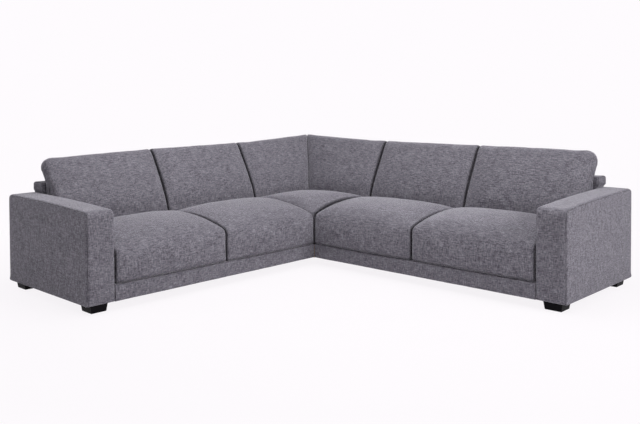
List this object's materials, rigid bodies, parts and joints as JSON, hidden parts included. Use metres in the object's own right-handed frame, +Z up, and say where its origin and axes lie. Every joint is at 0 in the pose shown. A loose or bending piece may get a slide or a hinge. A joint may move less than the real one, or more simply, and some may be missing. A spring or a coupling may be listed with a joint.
{
  "type": "corner sofa",
  "caption": "L-shaped corner sofa in separable upholstered modules, with boxy arms, crowned loose seat cushions and leaning back cushions.",
  "frame": {"origin": "centre of the sofa's square footprint, on the floor", "axes": "+Z up. The corner module stands at low X and high Y. The right wing runs from it along +X and faces -Y, and the left wing runs from it along -Y and faces +X."},
  "size_m": [2.8, 2.8, 0.87],
  "materials": {
    "sofa_cloth": "mottled grey chenille with a fine cross weave",
    "foam": "open cell foam",
    "webbing": "woven elastic strap",
    "deck_cloth": "felt pad",
    "dust_cloth": "non-woven cloth",
    "timber": "planed softwood and board",
    "foot_black": "satin black",
    "plated_steel": "zinc plated"
  },
  "bodies": {
    "corner_module": {"corner_back_frame": "timber", "corner_connector_tongues": "plated_steel", "corner_deck_pad": "deck_cloth", "corner_dust_cover": "dust_cloth", "corner_feet": "foot_black", "corner_foot_plates": "plated_steel", "corner_left_back_upholstery": "sofa_cloth", "corner_rails": "timber", "corner_right_back_upholstery": "sofa_cloth", "corner_webbing": "webbing"},
    "right_module": {"right_arm_bolts": "plated_steel", "right_arm_frame": "timber", "right_arm_upholstery": "sofa_cloth", "right_back_frame": "timber", "right_back_upholstery": "sofa_cloth", "right_connector_keepers": "plated_steel", "right_cross_rails": "timber", "right_deck_pad": "deck_cloth", "right_dust_cover": "dust_cloth", "right_feet": "foot_black", "right_foot_plates": "plated_steel", "right_front_band": "sofa_cloth", "right_long_rails": "timber", "right_webbing": "webbing"},
    "left_module": {"left_arm_bolts": "plated_steel", "left_arm_frame": "timber", "left_arm_upholstery": "sofa_cloth", "left_back_frame": "timber", "left_back_upholstery": "sofa_cloth", "left_connector_keepers": "plated_steel", "left_cross_rails": "timber", "left_deck_pad": "deck_cloth", "left_dust_cover": "dust_cloth", "left_feet": "foot_black", "left_foot_plates": "plated_steel", "left_front_band": "sofa_cloth", "left_long_rails": "timber", "left_webbing": "webbing"},
    "corner_seat_cushion": {"corner_seat_cushion_cover": "sofa_cloth", "corner_seat_cushion_foam": "foam"},
    "left_corner_back_cushion": {"left_corner_back_cushion_cover": "sofa_cloth", "left_corner_back_cushion_foam": "foam"},
    "left_inner_back_cushion": {"left_inner_back_cushion_cover": "sofa_cloth", "left_inner_back_cushion_foam": "foam"},
    "left_inner_seat_cushion": {"left_inner_seat_cushion_cover": "sofa_cloth", "left_inner_seat_cushion_foam": "foam"},
    "left_outer_back_cushion": {"left_outer_back_cushion_cover": "sofa_cloth", "left_outer_back_cushion_foam": "foam"},
    "left_outer_seat_cushion": {"left_outer_seat_cushion_cover": "sofa_cloth", "left_outer_seat_cushion_foam": "foam"},
    "right_corner_back_cushion": {"right_corner_back_cushion_cover": "sofa_cloth", "right_corner_back_cushion_foam": "foam"},
    "right_inner_back_cushion": {"right_inner_back_cushion_cover": "sofa_cloth", "right_inner_back_cushion_foam": "foam"},
    "right_inner_seat_cushion": {"right_inner_seat_cushion_cover": "sofa_cloth", "right_inner_seat_cushion_foam": "foam"},
    "right_outer_back_cushion": {"right_outer_back_cushion_cover": "sofa_cloth", "right_outer_back_cushion_foam": "foam"},
    "right_outer_seat_cushion": {"right_outer_seat_cushion_cover": "sofa_cloth", "right_outer_seat_cushion_foam": "foam"}
  },
  "joints": [
    {"name": "right_module_slide", "type": "slide", "parent": "corner_module", "child": "right_module", "axis": [1, 0, 0], "range_m": [0, 0.3]},
    {"name": "left_module_slide", "type": "slide", "parent": "corner_module", "child": "left_module", "axis": [0, -1, 0], "range_m": [0, 0.3]},
    {"name": "corner_seat_cushion_lift", "type": "slide", "parent": "corner_module", "child": "corner_seat_cushion", "axis": [0, 0, 1], "range_m": [0, 0.46]},
    {"name": "left_corner_back_cushion_lift", "type": "slide", "parent": "corner_module", "child": "left_corner_back_cushion", "axis": [0, 0, 1], "range_m": [0, 0.53]},
    {"name": "left_inner_back_cushion_lift", "type": "slide", "parent": "left_module", "child": "left_inner_back_cushion", "axis": [0, 0, 1], "range_m": [0, 0.53]},
    {"name": "left_inner_seat_cushion_lift", "type": "slide", "parent": "left_module", "child": "left_inner_seat_cushion", "axis": [0, 0, 1], "range_m": [0, 0.46]},
    {"name": "left_outer_back_cushion_lift", "type": "slide", "parent": "left_module", "child": "left_outer_back_cushion", "axis": [0, 0, 1], "range_m": [0, 0.53]},
    {"name": "left_outer_seat_cushion_lift", "type": "slide", "parent": "left_module", "child": "left_outer_seat_cushion", "axis": [0, 0, 1], "range_m": [0, 0.46]},
    {"name": "right_corner_back_cushion_lift", "type": "slide", "parent": "corner_module", "child": "right_corner_back_cushion", "axis": [0, 0, 1], "range_m": [0, 0.53]},
    {"name": "right_inner_back_cushion_lift", "type": "slide", "parent": "right_module", "child": "right_inner_back_cushion", "axis": [0, 0, 1], "range_m": [0, 0.53]},
    {"name": "right_inner_seat_cushion_lift", "type": "slide", "parent": "right_module", "child": "right_inner_seat_cushion", "axis": [0, 0, 1], "range_m": [0, 0.46]},
    {"name": "right_outer_back_cushion_lift", "type": "slide", "parent": "right_module", "child": "right_outer_back_cushion", "axis": [0, 0, 1], "range_m": [0, 0.53]},
    {"name": "right_outer_seat_cushion_lift", "type": "slide", "parent": "right_module", "child": "right_outer_seat_cushion", "axis": [0, 0, 1], "range_m": [0, 0.46]}
  ]
}
